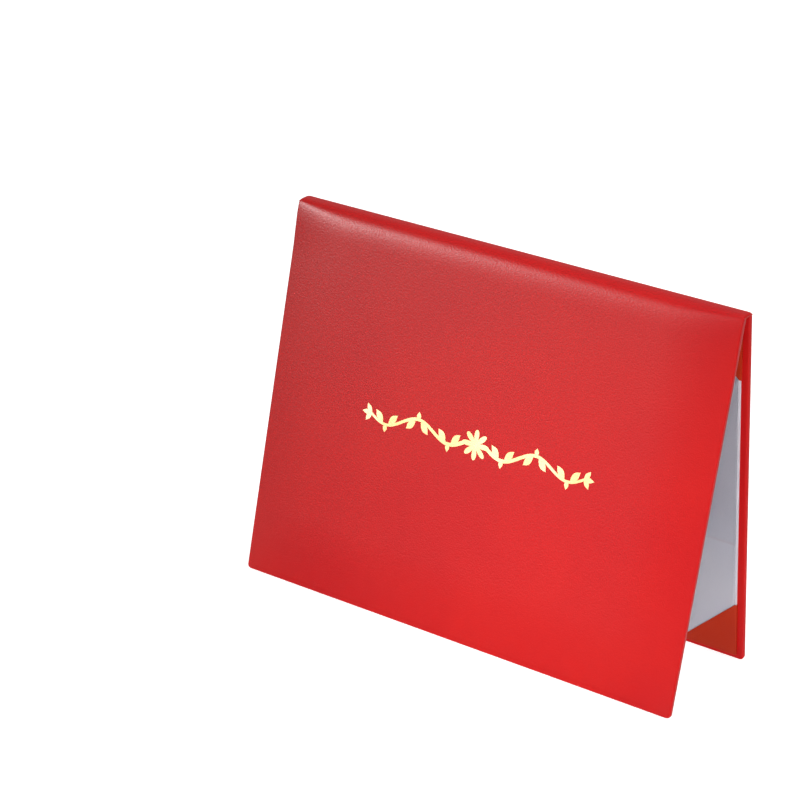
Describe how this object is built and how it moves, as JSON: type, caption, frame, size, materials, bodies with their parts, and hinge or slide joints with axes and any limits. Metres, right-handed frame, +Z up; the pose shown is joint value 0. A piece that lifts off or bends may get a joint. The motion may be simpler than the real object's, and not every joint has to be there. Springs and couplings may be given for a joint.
{
  "type": "diploma cover",
  "caption": "Padded red leatherette diploma cover standing open like a tent, with a flat spine, a foil ornament, and a lining with a clear sheet under corner tabs.",
  "frame": {"origin": "on the table, midway between the two feet and midway along the spine", "axes": "+Z up, +X along the spine, -Y the way the padded front cover faces"},
  "size_m": [0.292, 0.0912, 0.2254],
  "materials": {
    "leatherette": "satin red leatherette with a fine grain",
    "tab_leatherette": "smooth orange-red leatherette",
    "grey_board": "stiff binder's board",
    "foam": "soft white foam",
    "lining_card": "smooth pale card",
    "clear_film": "clear glossy film",
    "gold_foil": "pale gold hot foil"
  },
  "bodies": {
    "back_cover": {"back_board": "grey_board", "back_wrap": "leatherette", "back_liner_wing": "leatherette", "back_lining": "lining_card", "clear_sheet": "clear_film", "tab_fold_left": "tab_leatherette", "tab_fold_right": "tab_leatherette", "tab_foot_left": "tab_leatherette", "tab_foot_right": "tab_leatherette"},
    "spine": {"spine_wrap": "leatherette", "spine_liner": "leatherette"},
    "front_cover": {"front_board": "grey_board", "foam_pad": "foam", "front_wrap": "leatherette", "front_liner_wing": "leatherette", "front_lining": "lining_card", "foil_ornament": "gold_foil"}
  },
  "joints": [
    {"name": "back_hinge", "type": "hinge", "parent": "back_cover", "child": "spine", "pos_m": [0, 0.00492, 0.2254], "axis": [-1, 0, 0], "range_deg": [-10.3, 79.7]},
    {"name": "front_hinge", "type": "hinge", "parent": "spine", "child": "front_cover", "pos_m": [0, -0.00492, 0.2254], "axis": [-1, 0, 0], "range_deg": [-10.3, 79.7]}
  ],
  "couplings": [
    {"joint": "front_hinge", "follows": "back_hinge", "ratio": 1}
  ]
}
